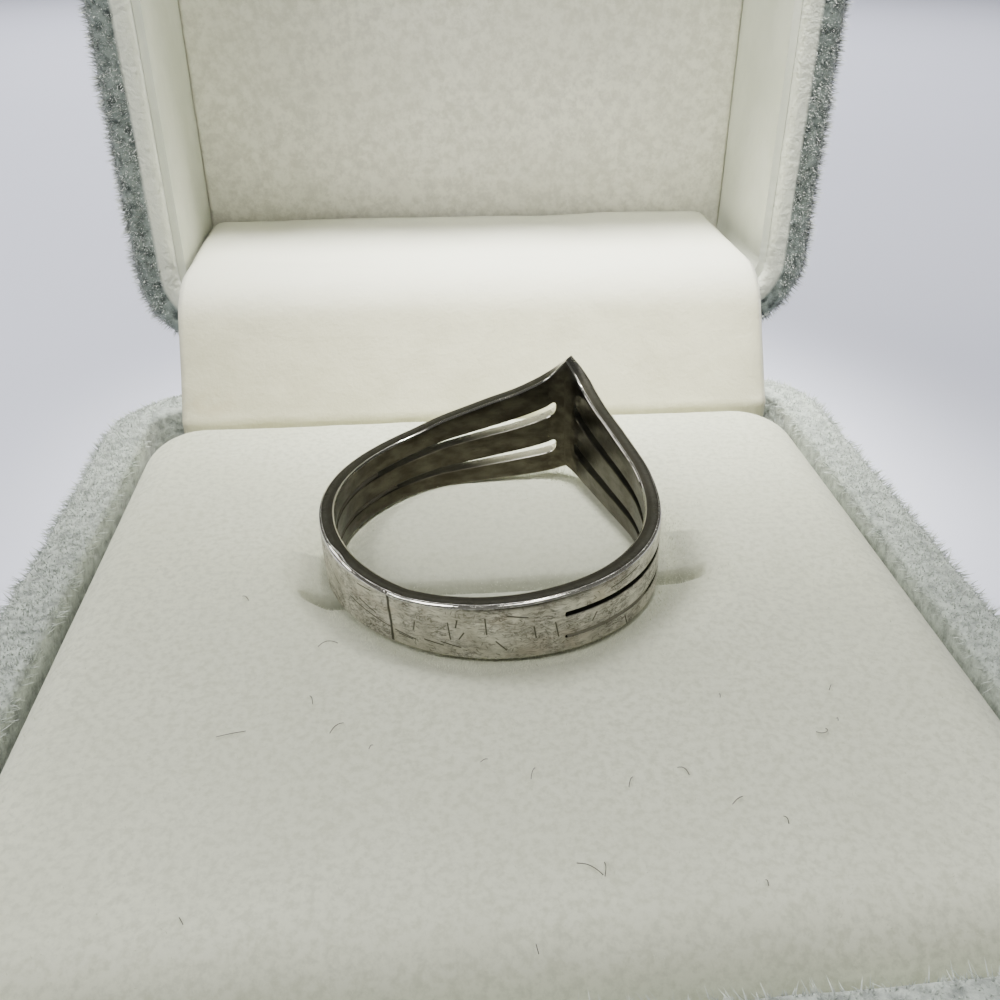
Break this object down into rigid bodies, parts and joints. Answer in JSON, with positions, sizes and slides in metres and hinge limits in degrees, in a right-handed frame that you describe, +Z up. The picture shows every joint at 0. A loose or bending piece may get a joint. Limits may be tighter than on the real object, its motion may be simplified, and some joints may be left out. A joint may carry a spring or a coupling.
{
  "type": "chevron ring in a hinged ring box",
  "caption": "Silver chevron ring with slotted arms, lying on the slit pad of an open, hinged ring box.",
  "frame": {"origin": "centre of the underside of the box's base", "axes": "+Z up, +X to the box's right, +Y towards the hinge; the lid is stored open"},
  "size_m": [0.0563, 0.0776, 0.0823],
  "materials": {
    "silver": "worn, finely scratched silver",
    "pile_fabric": "short grey-green pile",
    "plush": "cream plush",
    "cover_cloth": "smooth cream cloth",
    "lining": "smooth cream card",
    "panel_plush": "speckled cream plush",
    "hinge_steel": "plain steel"
  },
  "bodies": {
    "base": {"chevron_ring": "silver", "base_shell": "pile_fabric", "ring_pad": "plush", "hinge_cover": "cover_cloth", "hinge_base_leaf": "hinge_steel", "hinge_pin": "hinge_steel"},
    "lid": {"lid_shell": "pile_fabric", "lid_lining": "lining", "lid_panel": "panel_plush", "hinge_lid_leaf": "hinge_steel"}
  },
  "joints": [
    {"name": "lid_hinge", "type": "hinge", "parent": "base", "child": "lid", "pos_m": [0, 0.03095, 0.02295], "axis": [1, 0, 0], "range_deg": [0, 90], "deforming": ["hinge_cover"]}
  ]
}
